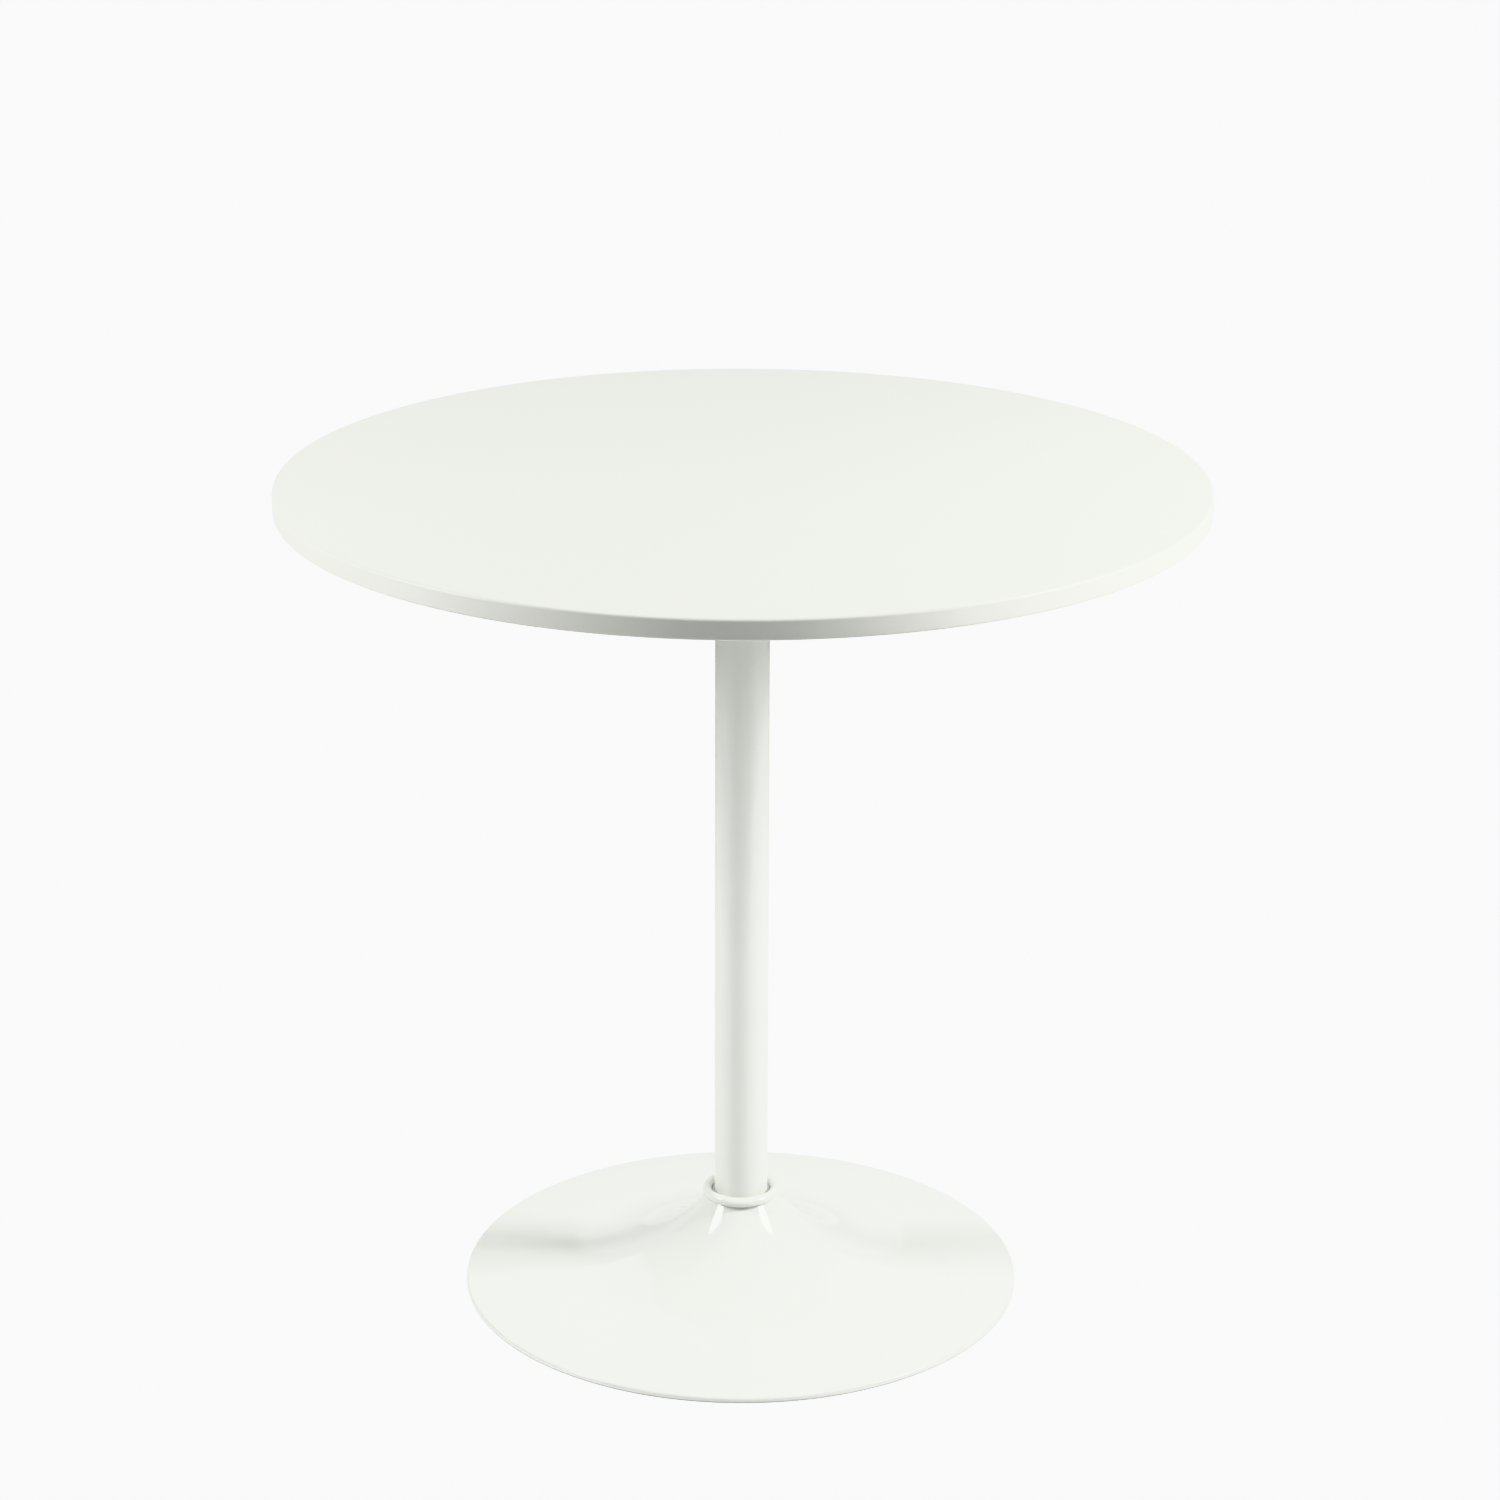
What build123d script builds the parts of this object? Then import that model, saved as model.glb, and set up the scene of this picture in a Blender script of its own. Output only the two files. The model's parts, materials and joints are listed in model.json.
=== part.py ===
from build123d import *
import math
import os

# Round pedestal table: lacquered top, tubular column and a weighted trumpet base.
# Origin: centre of the floor footprint. +Z is up. Millimetres.

# Whole table
TABLE_HEIGHT = 750.0
TOP_DIAMETER = 800.0
BASE_DIAMETER = 500.0
COLUMN_DIAMETER = 48.0

# Table top
TOP_THICKNESS = 18.0
TOP_EDGE_RADIUS = 2.5
INSERT_DIAMETER = 10.0
INSERT_LENGTH = 13.0
INSERT_SKIN = 4.0
INSERT_GROOVES = 3
INSERT_GROOVE_PITCH = 3.5
INSERT_GROOVE_WIDTH = 1.2
INSERT_GROOVE_DEPTH = 0.6

# Mounting plate and its screws
PLATE_DIAMETER = 280.0
PLATE_THICKNESS = 5.0
PLATE_CHAMFER = 1.0
MOUNTING_SCREWS = 6
MOUNTING_CIRCLE = 240.0
MOUNTING_SCREW_LENGTH = 16.0
HEAD_BOLTS = 3
HEAD_BOLT_CIRCLE = 26.0
HEAD_BOLT_LENGTH = 25.0

# Column
TUBE_WALL = 1.5
PLUG_LENGTH = 30.0
PLUG_FIT = 0.05
PLUG_CHAMFER = 1.0
PLUG_TAPPING = 24.0
FOOT_HEIGHT = 29.0

# Spun shell of the base
SHELL_WALL = 1.5
NECK_SLOPE = 50.0
FLARE_SLOPE = 3.0
FLARE_RADIUS = 190.0
NECK_POINT = (31.0, 79.0)
RIM_TOP = 5.0
RIM_RADIUS = 2.0
BEAD_CENTRE = (30.5, 84.3)
BEAD_RADIUS = 4.3
THROAT_RADIUS = 2.5

# Inside the base
SEAL_HEIGHT = 1.5
SEAL_WIDTH = 3.5
SEAL_LEG = 1.2
BUSH_BOTTOM = 67.0
BUSH_TOP = 85.1
BUSH_FLANGE = 3.0
BUSH_FLANGE_WIDTH = 8.0
BASE_PLATE_DIAMETER = 400.0
BASE_PLATE_THICKNESS = 3.0
BASE_SCREWS = 6
BASE_SCREW_CIRCLE = 180.0
BASE_SCREW_LENGTH = 12.0
BASE_PLATE_CHAMFER = 0.6
BALLAST_TOP = 46.0
BALLAST_RADIUS = 140.0
BALLAST_GAP = 1.0
SHELL_RING_THICKNESS = 4.0
SHELL_SCREWS = 4
SHELL_SCREW_CIRCLE = 84.0
SHELL_SCREW_LENGTH = 35.0
SHELL_SCREW_TURN = 45.0
COUNTERBORE_GAP = 1.0
WEB_THICKNESS = 8.0
POCKET_RADIUS = 24.0
ACCESS_RADIUS = 26.0
CAP_THICKNESS = 1.5
CAP_SKIRT_HEIGHT = 3.5
CAP_SKIRT_WALL = 1.6
FOOT_BOLT_LENGTH = 34.0
FOOT_WASHER_RADIUS = 18.5
FOOT_WASHER_THICKNESS = 2.5
SPRING_WASHER_RADIUS = 10.5
SPRING_WASHER_SPLIT = 1.2
FOOT_PIN_CIRCLE = 32.0
FOOT_PIN_DIAMETER = 6.0
FOOT_PIN_LENGTH = 15.0
FOOT_PIN_SKIN = 1.0

# Clearances of parts that only sit together
SLIP = 0.1
EASY = 0.3

# Fastener sizes: thread diameter, head diameter, head height, key size across flats.
# A washer is given as its inner radius, outer radius and thickness.
M5_COUNTERSUNK = (5.0, 10.0, 2.7, 3.0)
M6_PAN = (6.0, 10.5, 3.3, 4.0)
M6_CAP = (6.0, 10.0, 6.0, 5.0)
M8_COUNTERSUNK = (8.0, 16.0, 4.4, 5.0)
M12_THREAD = 12.0
M12_HEAD_HEIGHT = 7.5
M12_ACROSS_FLATS = 18.0
M6_WASHER = (3.2, 7.0, 1.6)
SOCKET_DEPTH_SHARE = 0.58
HOLE_CLEARANCE = 0.5
THREAD_CLEARANCE = 0.05

# Heights that follow from the sizes above
TOP_UNDERSIDE = TABLE_HEIGHT - TOP_THICKNESS
PLATE_UNDERSIDE = TOP_UNDERSIDE - PLATE_THICKNESS
BALLAST_BOTTOM = SEAL_HEIGHT + BASE_PLATE_THICKNESS
POCKET_TOP = FOOT_HEIGHT - WEB_THICKNESS
RING_TOP = BALLAST_TOP + SHELL_RING_THICKNESS
TUBE_RADIUS = COLUMN_DIAMETER / 2
PLUG_RADIUS = TUBE_RADIUS - TUBE_WALL - PLUG_FIT
SHELL_SCREW_SEAT = RING_TOP - SHELL_SCREW_LENGTH
WASHER_BOTTOM = POCKET_TOP - FOOT_WASHER_THICKNESS
BOLT_SEAT = WASHER_BOTTOM - FOOT_WASHER_THICKNESS
FOOT_PIN_BOTTOM = POCKET_TOP + FOOT_PIN_SKIN
MOUNTING_SCREW_SEAT = PLATE_UNDERSIDE - M6_WASHER[2]


def disc(radius, bottom, top):
    """A plain cylinder about the Z axis between two heights."""
    cylinder = Cylinder(radius, top - bottom, align=(Align.CENTER, Align.CENTER, Align.MIN))
    return Pos(0, 0, bottom) * cylinder


def ring(inner, outer, bottom, top):
    """A plain ring about the Z axis between two heights."""
    return disc(outer, bottom, top) - disc(inner, bottom, top)


def on_circle(shape, count, diameter, start=0.0):
    """Copies of a shape, evenly spaced round a circle about the Z axis."""
    turns = [start + 360.0 * i / count for i in range(count)]
    return [Rot(0, 0, turn) * Pos(diameter / 2, 0, 0) * shape for turn in turns]


def cut(body, tools):
    """A body with every tool taken out of it."""
    for tool in tools:
        body = body - tool
    return body


def cone_head(size, face, upwards):
    """A countersunk head whose wide face lies at the height face, narrowing into the hole."""
    thread, head, height, _ = size
    if upwards:
        cone = Cone(head / 2, thread / 2, height, align=(Align.CENTER, Align.CENTER, Align.MIN))
        return Pos(0, 0, face) * cone
    cone = Cone(thread / 2, head / 2, height, align=(Align.CENTER, Align.CENTER, Align.MAX))
    return Pos(0, 0, face) * cone


def hexagon(across_flats, bottom, top):
    """A hexagonal prism about the Z axis."""
    outline = RegularPolygon(across_flats / 2, 6, major_radius=False)
    return Pos(0, 0, bottom) * extrude(outline, top - bottom)


def countersunk_screw(size, face, length, upwards):
    """A countersunk socket screw: upwards is True when it is driven up from below."""
    thread, _, height, key = size
    if upwards:
        shank = disc(thread / 2, face, face + length)
        socket = hexagon(key, face, face + height * SOCKET_DEPTH_SHARE)
    else:
        shank = disc(thread / 2, face - length, face)
        socket = hexagon(key, face - height * SOCKET_DEPTH_SHARE, face)
    return shank + cone_head(size, face, upwards) - socket


def headed_screw(size, bearing, length, rounding):
    """A socket screw driven up from below, its head hanging under the height bearing."""
    thread, head, height, key = size
    crown = disc(head / 2, bearing - height, bearing)
    crown = fillet(crown.edges().group_by(Axis.Z)[0], rounding)
    socket = hexagon(key, bearing - height, bearing - height * (1 - SOCKET_DEPTH_SHARE))
    return crown + disc(thread / 2, bearing, bearing + length) - socket


def make_table_top():
    """The lacquered board, with blind holes underneath for the threaded inserts."""
    board = disc(TOP_DIAMETER / 2, TOP_UNDERSIDE, TABLE_HEIGHT)
    board = fillet(board.edges(), TOP_EDGE_RADIUS)
    hole = disc(INSERT_DIAMETER / 2, TOP_UNDERSIDE, TABLE_HEIGHT - INSERT_SKIN)
    return cut(board, on_circle(hole, MOUNTING_SCREWS, MOUNTING_CIRCLE))


def make_top_inserts():
    """Threaded inserts pressed into the underside of the top."""
    bore = M6_PAN[0] / 2 + THREAD_CLEARANCE
    outer = INSERT_DIAMETER / 2 - THREAD_CLEARANCE
    insert = ring(bore, outer, TOP_UNDERSIDE, TOP_UNDERSIDE + INSERT_LENGTH)
    for groove in range(INSERT_GROOVES):
        height = TOP_UNDERSIDE + INSERT_GROOVE_PITCH * (groove + 0.8)
        floor = outer - INSERT_GROOVE_DEPTH
        insert = insert - ring(floor, outer + 1.0, height, height + INSERT_GROOVE_WIDTH)
    return Compound(children=on_circle(insert, MOUNTING_SCREWS, MOUNTING_CIRCLE))


def make_mounting_plate():
    """The round steel plate that carries the top on the column."""
    plate = disc(PLATE_DIAMETER / 2, PLATE_UNDERSIDE, TOP_UNDERSIDE)
    plate = chamfer(plate.edges().group_by(Axis.Z)[0], PLATE_CHAMFER)
    screw_hole = disc(M6_PAN[0] / 2 + HOLE_CLEARANCE, PLATE_UNDERSIDE, TOP_UNDERSIDE)
    plate = cut(plate, on_circle(screw_hole, MOUNTING_SCREWS, MOUNTING_CIRCLE))
    bolt_hole = disc(M8_COUNTERSUNK[0] / 2 + SLIP, PLATE_UNDERSIDE, TOP_UNDERSIDE)
    seat_size = (M8_COUNTERSUNK[0] + 2 * SLIP, M8_COUNTERSUNK[1] + 2 * SLIP, M8_COUNTERSUNK[2], 0)
    seat = cone_head(seat_size, TOP_UNDERSIDE, upwards=False)
    return cut(plate, on_circle(bolt_hole + seat, HEAD_BOLTS, HEAD_BOLT_CIRCLE))


def make_mounting_washers():
    """Flat washers under the heads of the mounting screws."""
    inner, outer, _ = M6_WASHER
    washer = ring(inner, outer, MOUNTING_SCREW_SEAT, PLATE_UNDERSIDE)
    return Compound(children=on_circle(washer, MOUNTING_SCREWS, MOUNTING_CIRCLE))


def make_mounting_screws():
    """Pan-head screws that hold the plate against the top."""
    screw = headed_screw(M6_PAN, MOUNTING_SCREW_SEAT, MOUNTING_SCREW_LENGTH, 1.5)
    return Compound(children=on_circle(screw, MOUNTING_SCREWS, MOUNTING_CIRCLE))


def make_head_bolts():
    """Countersunk bolts from the mounting plate into the plug in the tube."""
    bolt = countersunk_screw(M8_COUNTERSUNK, TOP_UNDERSIDE, HEAD_BOLT_LENGTH, upwards=False)
    return Compound(children=on_circle(bolt, HEAD_BOLTS, HEAD_BOLT_CIRCLE))


def make_head_plug():
    """The turned steel plug in the top of the tube, tapped for the head bolts."""
    plug = disc(PLUG_RADIUS, PLATE_UNDERSIDE - PLUG_LENGTH, PLATE_UNDERSIDE)
    plug = chamfer(plug.edges().group_by(Axis.Z)[0], PLUG_CHAMFER)
    tapping = M8_COUNTERSUNK[0] / 2 + THREAD_CLEARANCE
    hole = disc(tapping, PLATE_UNDERSIDE - PLUG_TAPPING, PLATE_UNDERSIDE)
    return cut(plug, on_circle(hole, HEAD_BOLTS, HEAD_BOLT_CIRCLE))


def make_column_tube():
    """The powder-coated steel tube between the base and the mounting plate."""
    return ring(TUBE_RADIUS - TUBE_WALL, TUBE_RADIUS, FOOT_HEIGHT, PLATE_UNDERSIDE)


def make_foot_plug():
    """The turned steel plug in the foot of the tube, tapped for the foot bolt."""
    plug = disc(PLUG_RADIUS, FOOT_HEIGHT, FOOT_HEIGHT + PLUG_LENGTH)
    plug = chamfer(plug.edges().group_by(Axis.Z)[-1], PLUG_CHAMFER)
    tapped = disc(M12_THREAD / 2 + THREAD_CLEARANCE, FOOT_HEIGHT, FOOT_HEIGHT + PLUG_TAPPING)
    pin_top = FOOT_PIN_BOTTOM + FOOT_PIN_LENGTH + EASY
    pin_hole = disc(FOOT_PIN_DIAMETER / 2 + THREAD_CLEARANCE, FOOT_HEIGHT, pin_top)
    return cut(plug - tapped, on_circle(pin_hole, 2, FOOT_PIN_CIRCLE))


def make_foot_pins():
    """Pins that keep the column from turning in the base."""
    pin = disc(FOOT_PIN_DIAMETER / 2, FOOT_PIN_BOTTOM, FOOT_PIN_BOTTOM + FOOT_PIN_LENGTH)
    pin = chamfer(pin.edges(), 0.5)
    return Compound(children=on_circle(pin, 2, FOOT_PIN_CIRCLE))


def shell_lines(depth):
    """Neck and flare lines at a depth under the shell: heights at the axis, and the knee."""
    neck_fall = math.tan(math.radians(NECK_SLOPE))
    flare_fall = math.tan(math.radians(FLARE_SLOPE))
    neck = NECK_POINT[1] + NECK_POINT[0] * neck_fall - depth / math.cos(math.radians(NECK_SLOPE))
    flare = RIM_TOP + BASE_DIAMETER / 2 * flare_fall - depth / math.cos(math.radians(FLARE_SLOPE))
    knee = (neck - flare) / (neck_fall - flare_fall)
    return neck, flare, (knee, flare - knee * flare_fall)


def curve_height(radius, depth):
    """Height of the curve between neck and flare at a radius, at a depth under the shell."""
    centre = shell_lines(-FLARE_RADIUS)[2]
    return centre[1] - math.sqrt((FLARE_RADIUS + depth) ** 2 - (centre[0] - radius) ** 2)


def curve_radius(height, depth):
    """Radius of the same curve at a height."""
    centre = shell_lines(-FLARE_RADIUS)[2]
    return centre[0] - math.sqrt((FLARE_RADIUS + depth) ** 2 - (centre[1] - height) ** 2)


def shell_side(depth):
    """One side of the shell wall in section, from the rim to the end of the bead."""
    neck_at_axis, flare_at_axis, knee = shell_lines(depth)
    rim = BASE_DIAMETER / 2 - depth
    bead_radius = BEAD_RADIUS - SHELL_WALL + depth
    throat = BEAD_CENTRE[0] - bead_radius
    corners = [
        (rim, SEAL_HEIGHT),
        (rim, flare_at_axis - rim * math.tan(math.radians(FLARE_SLOPE))),
        knee,
        (throat, neck_at_axis - throat * math.tan(math.radians(NECK_SLOPE))),
        (throat, BEAD_CENTRE[1]),
    ]
    radii = [RIM_RADIUS - depth, FLARE_RADIUS + depth, THROAT_RADIUS + depth]
    return FilletPolyline(*corners, radius=radii) + CenterArc(BEAD_CENTRE, bead_radius, 180, -270)


def make_base_shell():
    """The spun steel trumpet, with a rolled bead at the neck and a turned-down rim."""
    rim = BASE_DIAMETER / 2
    rim_end = Line((rim, SEAL_HEIGHT), (rim - SHELL_WALL, SEAL_HEIGHT))
    bead_end = Line((BEAD_CENTRE[0], BEAD_CENTRE[1] - BEAD_RADIUS + SHELL_WALL),
                    (BEAD_CENTRE[0], BEAD_CENTRE[1] - BEAD_RADIUS))
    section = make_face(shell_side(0) + shell_side(SHELL_WALL) + rim_end + bead_end)
    return revolve(Plane.XZ * section, Axis.Z)


def make_shell_ring():
    """The steel ring welded inside the shell, which the shell screws pull down."""
    outer = curve_radius(RING_TOP, SHELL_WALL + EASY)
    collar = ring(TUBE_RADIUS + EASY, outer, BALLAST_TOP, RING_TOP)
    tapped = disc(M6_CAP[0] / 2 + THREAD_CLEARANCE, BALLAST_TOP, RING_TOP)
    return cut(collar, on_circle(tapped, SHELL_SCREWS, SHELL_SCREW_CIRCLE, SHELL_SCREW_TURN))


def make_neck_bush():
    """The pale bush that centres the shell's neck on the tube."""
    throat = BEAD_CENTRE[0] - BEAD_RADIUS
    step = BUSH_BOTTOM + BUSH_FLANGE
    sleeve = ring(TUBE_RADIUS + SLIP, throat - SLIP, step, BUSH_TOP)
    return sleeve + ring(TUBE_RADIUS + SLIP, throat + BUSH_FLANGE_WIDTH, BUSH_BOTTOM, step)


def make_ballast_weight():
    """The cast-iron weight under the shell, with the socket for the column's foot."""
    depth = SHELL_WALL + BALLAST_GAP
    crown = (curve_radius(BALLAST_TOP, depth), BALLAST_TOP)
    middle = (crown[0] + BALLAST_RADIUS) / 2
    edge = (BALLAST_RADIUS, curve_height(BALLAST_RADIUS, depth))
    slope = ThreePointArc(crown, (middle, curve_height(middle, depth)), edge)
    foot = (BALLAST_RADIUS, BALLAST_BOTTOM)
    rest = Polyline(edge, foot, (0, BALLAST_BOTTOM), (0, BALLAST_TOP), crown)
    casting = revolve(Plane.XZ * make_face(slope + rest), Axis.Z)
    casting = casting - disc(TUBE_RADIUS + SLIP, FOOT_HEIGHT, BALLAST_TOP)
    casting = casting - disc(POCKET_RADIUS, BALLAST_BOTTOM, POCKET_TOP)
    casting = casting - disc(M12_THREAD / 2 + HOLE_CLEARANCE, POCKET_TOP, FOOT_HEIGHT)
    pin_hole = disc(FOOT_PIN_DIAMETER / 2 + THREAD_CLEARANCE, FOOT_PIN_BOTTOM - SLIP, FOOT_HEIGHT)
    casting = cut(casting, on_circle(pin_hole, 2, FOOT_PIN_CIRCLE))
    screw_hole = disc(M6_CAP[0] / 2 + HOLE_CLEARANCE, SHELL_SCREW_SEAT, BALLAST_TOP)
    counterbore = disc(M6_CAP[1] / 2 + COUNTERBORE_GAP, BALLAST_BOTTOM, SHELL_SCREW_SEAT)
    tools = on_circle(screw_hole + counterbore, SHELL_SCREWS, SHELL_SCREW_CIRCLE, SHELL_SCREW_TURN)
    tapping = M5_COUNTERSUNK[0] / 2 + THREAD_CLEARANCE
    tapped = disc(tapping, BALLAST_BOTTOM, SEAL_HEIGHT + BASE_SCREW_LENGTH + 2.0)
    tools += on_circle(tapped, BASE_SCREWS, BASE_SCREW_CIRCLE)
    return cut(casting, tools)


def make_shell_screws():
    """Cap screws through the weight into the ring inside the shell."""
    screw = headed_screw(M6_CAP, SHELL_SCREW_SEAT, SHELL_SCREW_LENGTH, 0.6)
    return Compound(children=on_circle(screw, SHELL_SCREWS, SHELL_SCREW_CIRCLE, SHELL_SCREW_TURN))


def make_foot_washer():
    """The large flat washer under the web of the weight."""
    washer = ring(M12_THREAD / 2 + HOLE_CLEARANCE, FOOT_WASHER_RADIUS, WASHER_BOTTOM, POCKET_TOP)
    return chamfer(washer.edges().group_by(Axis.Z)[0].sort_by(SortBy.LENGTH)[-1], 0.5)


def make_foot_spring_washer():
    """The split spring washer between the flat washer and the bolt head."""
    inner = M12_THREAD / 2 + SLIP
    washer = ring(inner, SPRING_WASHER_RADIUS, BOLT_SEAT, WASHER_BOTTOM)
    middle = Pos((inner + SPRING_WASHER_RADIUS) / 2, 0, (BOLT_SEAT + WASHER_BOTTOM) / 2)
    return washer - middle * Rot(30, 0, 0) * Box(SPRING_WASHER_RADIUS, SPRING_WASHER_SPLIT, 12)


def make_foot_bolt():
    """The hexagon bolt that pulls the column down into the weight."""
    height = M12_HEAD_HEIGHT
    narrow = M12_ACROSS_FLATS / 2
    head = hexagon(M12_ACROSS_FLATS, BOLT_SEAT - height, BOLT_SEAT)
    flare = Cone(narrow, narrow + height * 1.7, height, align=(Align.CENTER, Align.CENTER, Align.MIN))
    head = head & (Pos(0, 0, BOLT_SEAT - height) * flare)
    return head + disc(M12_THREAD / 2, BOLT_SEAT, BOLT_SEAT + FOOT_BOLT_LENGTH)


def make_base_plate():
    """The steel plate that closes the underside, with countersunk screw holes."""
    plate = ring(ACCESS_RADIUS, BASE_PLATE_DIAMETER / 2, SEAL_HEIGHT, BALLAST_BOTTOM)
    plate = chamfer(plate.edges().group_by(Axis.Z)[-1].sort_by(SortBy.LENGTH)[-1], BASE_PLATE_CHAMFER)
    hole = disc(M5_COUNTERSUNK[0] / 2 + SLIP, SEAL_HEIGHT, BALLAST_BOTTOM)
    seat_size = (M5_COUNTERSUNK[0] + 2 * SLIP, M5_COUNTERSUNK[1] + 2 * SLIP, M5_COUNTERSUNK[2], 0)
    seat = cone_head(seat_size, SEAL_HEIGHT, upwards=True)
    return cut(plate, on_circle(hole + seat, BASE_SCREWS, BASE_SCREW_CIRCLE))


def make_base_plate_screws():
    """Countersunk screws up through the base plate into the weight."""
    screw = countersunk_screw(M5_COUNTERSUNK, SEAL_HEIGHT, BASE_SCREW_LENGTH, upwards=True)
    return Compound(children=on_circle(screw, BASE_SCREWS, BASE_SCREW_CIRCLE))


def make_access_cap():
    """The plastic cap over the foot bolt, pushed into the base plate from below."""
    floor = SEAL_HEIGHT + CAP_THICKNESS
    cover = disc(ACCESS_RADIUS - SLIP, SEAL_HEIGHT, floor)
    outer = POCKET_RADIUS - 0.6
    return cover + ring(outer - CAP_SKIRT_WALL, outer, floor, floor + CAP_SKIRT_HEIGHT)


def make_rim_seal():
    """The soft ring under the rim, which is all that touches the floor."""
    rim = BASE_DIAMETER / 2
    foot = ring(rim - SEAL_WIDTH, rim, 0, SEAL_HEIGHT)
    leg = ring(rim - SEAL_WIDTH, rim - SHELL_WALL - SLIP, SEAL_HEIGHT, SEAL_HEIGHT + SEAL_LEG)
    return foot + leg


MAKERS = {
    "table_top": make_table_top,
    "top_inserts": make_top_inserts,
    "mounting_plate": make_mounting_plate,
    "mounting_washers": make_mounting_washers,
    "mounting_screws": make_mounting_screws,
    "head_bolts": make_head_bolts,
    "head_plug": make_head_plug,
    "column_tube": make_column_tube,
    "foot_plug": make_foot_plug,
    "foot_pins": make_foot_pins,
    "neck_bush": make_neck_bush,
    "base_shell": make_base_shell,
    "shell_ring": make_shell_ring,
    "shell_screws": make_shell_screws,
    "ballast_weight": make_ballast_weight,
    "foot_washer": make_foot_washer,
    "foot_spring_washer": make_foot_spring_washer,
    "foot_bolt": make_foot_bolt,
    "base_plate": make_base_plate,
    "base_plate_screws": make_base_plate_screws,
    "access_cap": make_access_cap,
    "rim_seal": make_rim_seal,
}

os.makedirs("parts", exist_ok=True)
for node, maker in MAKERS.items():
    export_step(maker(), f"parts/{node}.step")
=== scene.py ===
import json
import math

import bpy
import bmesh
from bpy.props import FloatProperty, FloatVectorProperty, IntProperty, PointerProperty
from bpy.types import Operator, Panel, PropertyGroup
from mathutils import Matrix, Vector


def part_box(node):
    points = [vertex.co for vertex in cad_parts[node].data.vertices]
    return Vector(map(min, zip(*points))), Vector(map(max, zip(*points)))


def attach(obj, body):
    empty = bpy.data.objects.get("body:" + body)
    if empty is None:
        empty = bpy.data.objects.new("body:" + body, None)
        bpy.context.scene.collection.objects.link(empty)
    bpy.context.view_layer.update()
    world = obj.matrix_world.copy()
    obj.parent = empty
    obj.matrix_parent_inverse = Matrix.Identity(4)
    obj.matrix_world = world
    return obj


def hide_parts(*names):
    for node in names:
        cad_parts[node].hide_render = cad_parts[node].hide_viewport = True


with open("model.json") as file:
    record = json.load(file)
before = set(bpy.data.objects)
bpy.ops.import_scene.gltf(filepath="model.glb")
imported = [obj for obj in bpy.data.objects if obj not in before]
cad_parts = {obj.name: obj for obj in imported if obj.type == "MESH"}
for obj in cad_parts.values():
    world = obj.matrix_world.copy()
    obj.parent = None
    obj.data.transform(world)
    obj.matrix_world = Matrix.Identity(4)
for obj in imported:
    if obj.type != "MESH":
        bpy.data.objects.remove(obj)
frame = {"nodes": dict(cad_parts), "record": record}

bl_info = {
    "name": "Round pedestal table",
    "version": (1, 0, 0),
    "blender": (4, 5, 0),
    "location": "3D View > Sidebar > Table",
    "description": "Makes a round table with a board top, a tube column and a trumpet base",
    "category": "Add Mesh",
}

MM = 0.001
LOOK = "_look"
WHITE = (1.0, 1.0, 1.0, 1.0)

# Fits and edges
EDGE_BREAK = 0.3 * MM
SLIP = 0.1 * MM
OVERRUN = 1.0 * MM

# Points of a turned piece that lie closer than this at the axis are one
MERGE = 0.008 * MM

# Holes, as radii
INSERT_HOLE = 5.0 * MM
SCREW_HOLE = 3.5 * MM
BOLT_HOLE = 4.1 * MM
BOLT_SINK = 9.1 * MM
UNDER_SCREW_HOLE = 2.6 * MM
UNDER_SCREW_SINK = 5.55 * MM
ACCESS_HOLE = 26.0 * MM

# Heads of the countersunk fasteners, as heights
BOLT_HEAD = 4.4 * MM
UNDER_SCREW_HEAD = 2.7 * MM

# How deep a key socket goes, as a share of the head's height
KEY_SHARE = 0.58

HEAD_BOLTS = 3
UNDER_SCREWS = 6


# ---------------------------------------------------------------------------
# Node trees
# ---------------------------------------------------------------------------

class Wire:
    """A node's output that takes part in arithmetic, adding Math nodes to its tree."""

    def __init__(self, graph, socket):
        self.graph = graph
        self.socket = socket

    def math(self, operation, first, second):
        return self.graph.node("ShaderNodeMath", {"operation": operation}, {0: first, 1: second})

    def __add__(self, other):
        return self.math("ADD", self, other)

    def __radd__(self, other):
        return self.math("ADD", other, self)

    def __mul__(self, other):
        return self.math("MULTIPLY", self, other)


class Graph:
    """A node tree that is written as expressions."""

    def __init__(self, tree):
        self.tree = tree
        tree.nodes.clear()

    def node(self, kind, settings=None, values=None, out=0):
        """Adds a node, sets it up, feeds its sockets and gives one of its outputs."""
        node = self.tree.nodes.new(kind)
        for key, value in (settings or {}).items():
            if key == "stops":
                self.set_stops(node.color_ramp, value)
            else:
                setattr(node, key, value)
        for key, value in (values or {}).items():
            self.feed(node.inputs[key], value)
        return Wire(self, node.outputs[out]) if len(node.outputs) else node

    def set_stops(self, ramp, stops):
        while len(ramp.elements) < len(stops):
            ramp.elements.new(1.0)
        for element, (place, grey) in zip(ramp.elements, stops):
            element.position = place
            element.color = (grey, grey, grey, 1.0)

    def feed(self, socket, value):
        if isinstance(value, (list, tuple)) and value and isinstance(value[0], Wire):
            for wire in value:
                self.tree.links.new(wire.socket, socket)
        elif isinstance(value, Wire):
            self.tree.links.new(value.socket, socket)
        else:
            socket.default_value = value


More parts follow.
